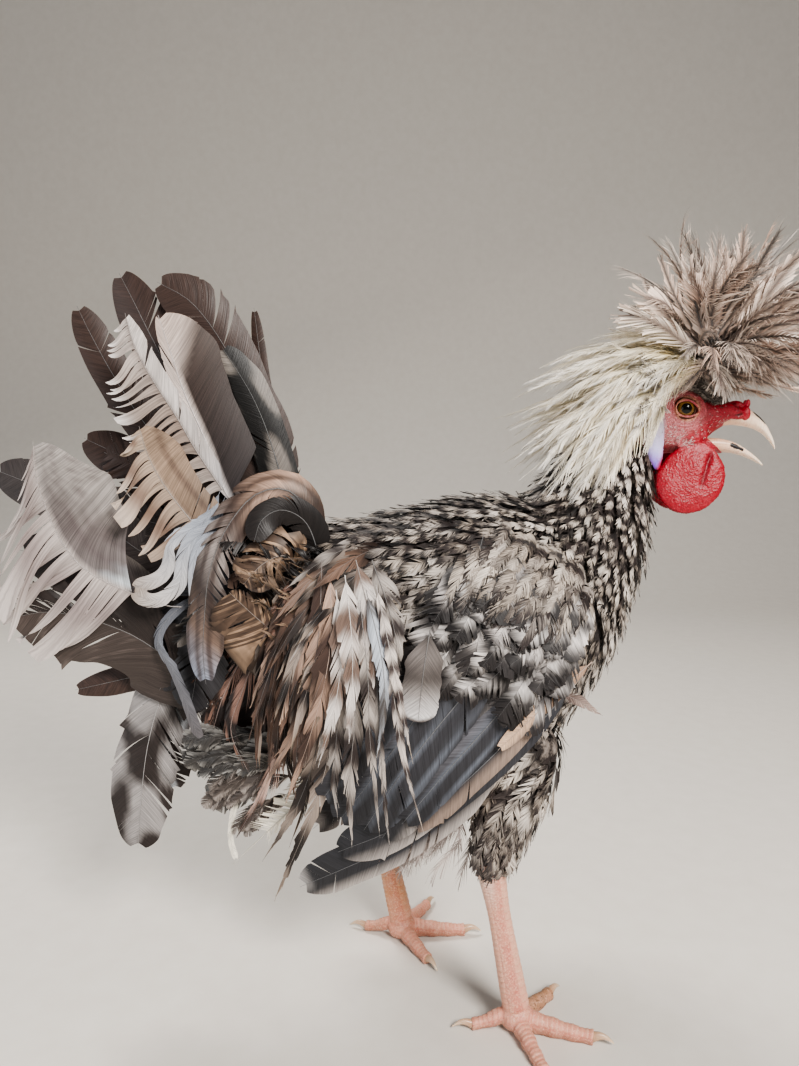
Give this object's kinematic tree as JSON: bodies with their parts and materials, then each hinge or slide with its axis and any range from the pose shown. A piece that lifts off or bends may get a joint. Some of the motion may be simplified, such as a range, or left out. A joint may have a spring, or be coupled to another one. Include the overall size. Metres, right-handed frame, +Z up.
{
  "type": "polish crested chicken",
  "caption": "Standing Polish crested cock with a full crest, open bill, round wattles, folded wings and a raised split-feathered tail.",
  "frame": {"origin": "on the floor, under the middle of the bird's box", "axes": "+X the way the bird faces, from tail to bill; +Y its left side; +Z up"},
  "size_m": [0.4906, 0.1828, 0.4542],
  "materials": {
    "mottled_plumage": "short overlapping feathers, black-brown with cream bars",
    "cream_plumage": "long silky cream feathers",
    "slate_plumage": "slate-grey flight feathers with a slight sheen",
    "tail_plumage": "dark brown tail feathers with cream edges",
    "red_skin": "bare red skin, finely granular, moist satin",
    "white_skin": "white to lavender skin, satin",
    "bill_horn": "ivory-pink horn with dark streaks, satin gloss",
    "eye": "wet gloss",
    "leg_scales": "pink scaled skin, satin",
    "claw_horn": "pale horn, satin gloss"
  },
  "bodies": {
    "root": {"bill_lower": "bill_horn", "bill_upper": "bill_horn", "claw_hind_L": "claw_horn", "claw_hind_R": "claw_horn", "claw_inner_L": "claw_horn", "claw_inner_R": "claw_horn", "claw_middle_L": "claw_horn", "claw_middle_R": "claw_horn", "claw_outer_L": "claw_horn", "claw_outer_R": "claw_horn", "crest_crown": "mottled_plumage", "crest_nape": "cream_plumage", "earlobe_L": "white_skin", "earlobe_R": "white_skin", "eye_L": "eye", "eye_R": "eye", "head": "red_skin", "neck": "mottled_plumage", "rump": "mottled_plumage", "shank_L": "leg_scales", "shank_R": "leg_scales", "tail": "tail_plumage", "thigh_L": "mottled_plumage", "thigh_R": "mottled_plumage", "toe_hind_L": "leg_scales", "toe_hind_R": "leg_scales", "toe_inner_L": "leg_scales", "toe_inner_R": "leg_scales", "toe_middle_L": "leg_scales", "toe_middle_R": "leg_scales", "toe_outer_L": "leg_scales", "toe_outer_R": "leg_scales", "torso": "mottled_plumage", "wattle_L": "red_skin", "wattle_R": "red_skin", "wing_L": "slate_plumage", "wing_R": "slate_plumage"}
  },
  "joints": []
}
